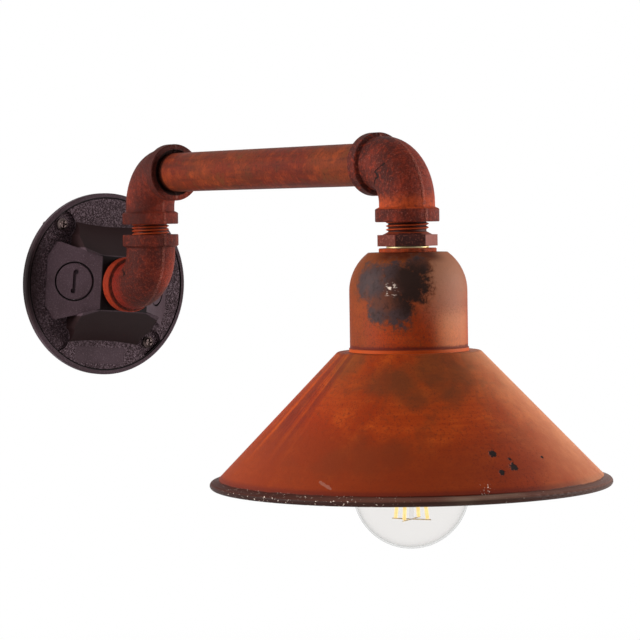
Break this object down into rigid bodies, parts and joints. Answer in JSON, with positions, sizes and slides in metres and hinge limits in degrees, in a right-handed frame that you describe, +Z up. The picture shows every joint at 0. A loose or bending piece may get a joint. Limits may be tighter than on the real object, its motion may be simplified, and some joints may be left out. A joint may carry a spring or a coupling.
{
  "type": "industrial pipe wall light",
  "caption": "Rust-coloured pipe wall light: round box cover, threaded elbows and arm, spun cone shade over a bare bulb.",
  "frame": {"origin": "centre of the gasket's back face, where the cover meets the wall", "axes": "+Y into the wall, so the arm runs along -Y; +Z up"},
  "size_m": [0.1956, 0.4168, 0.2027],
  "materials": {
    "gasket_rubber": "closed-cell foam",
    "bronze_coat": "pebbled bronze powder coat",
    "plug_coat": "bronze powder coat",
    "screw_metal": "plated",
    "rust_casting": "rough rust-coloured casting",
    "rust_pipe": "mottled rust-coloured",
    "rust_sheet": "mottled rust-coloured with dark patches",
    "brass": "plain",
    "plated_steel": "plated",
    "black_plastic": "moulded",
    "black_glass": "opaque glass",
    "clear_glass": "clear",
    "filament_coat": "warm coating",
    "black_insulation": "wire insulation",
    "white_insulation": "wire insulation"
  },
  "bodies": {
    "wall": {"cover_gasket": "gasket_rubber", "cover_plate": "bronze_coat", "cover_screws": "screw_metal", "closure_plug_left": "plug_coat", "closure_plug_right": "plug_coat", "wall_nipple": "rust_pipe", "lower_elbow": "rust_casting", "riser_nipple": "rust_pipe", "live_wire_wall": "black_insulation", "neutral_wire_wall": "white_insulation"},
    "arm": {"upper_elbow": "rust_casting", "arm_pipe": "rust_pipe", "outer_elbow": "rust_casting", "hex_bushing": "rust_casting", "brass_washer": "brass", "cup_washer": "rust_sheet", "hanging_rod": "plated_steel", "rod_nut": "plated_steel", "socket_cup": "rust_sheet", "lamp_shade": "rust_sheet", "shade_ring": "black_plastic", "lampholder_cap": "black_plastic", "lampholder_base": "black_plastic", "lampholder_shell": "brass", "lampholder_contact": "brass", "terminal_screws": "brass", "live_wire_arm": "black_insulation", "neutral_wire_arm": "white_insulation"},
    "bulb_tip": {"bulb_contact": "plated_steel", "bulb_insulator": "black_glass"},
    "bulb": {"bulb_cap": "plated_steel", "bulb_glass": "clear_glass", "bulb_stem": "clear_glass", "bulb_filaments": "filament_coat", "filament_wires": "plated_steel"}
  },
  "joints": [
    {"name": "arm_swing", "type": "hinge", "parent": "wall", "child": "arm", "pos_m": [0, -0.0565, 0.0314], "axis": [0, 0, 1], "range_deg": [-60, 60]},
    {"name": "bulb_travel", "type": "slide", "parent": "arm", "child": "bulb_tip", "axis": [0, 0, -1], "range_m": [0, 0.01815]},
    {"name": "bulb_turn", "type": "hinge", "parent": "bulb_tip", "child": "bulb", "pos_m": [0, -0.3022, -0.03], "axis": [0, 0, -1], "range_deg": [0, 1800]}
  ],
  "couplings": [
    {"joint": "bulb_travel", "follows": "bulb_turn", "m_per_rad": 0.00057757}
  ]
}
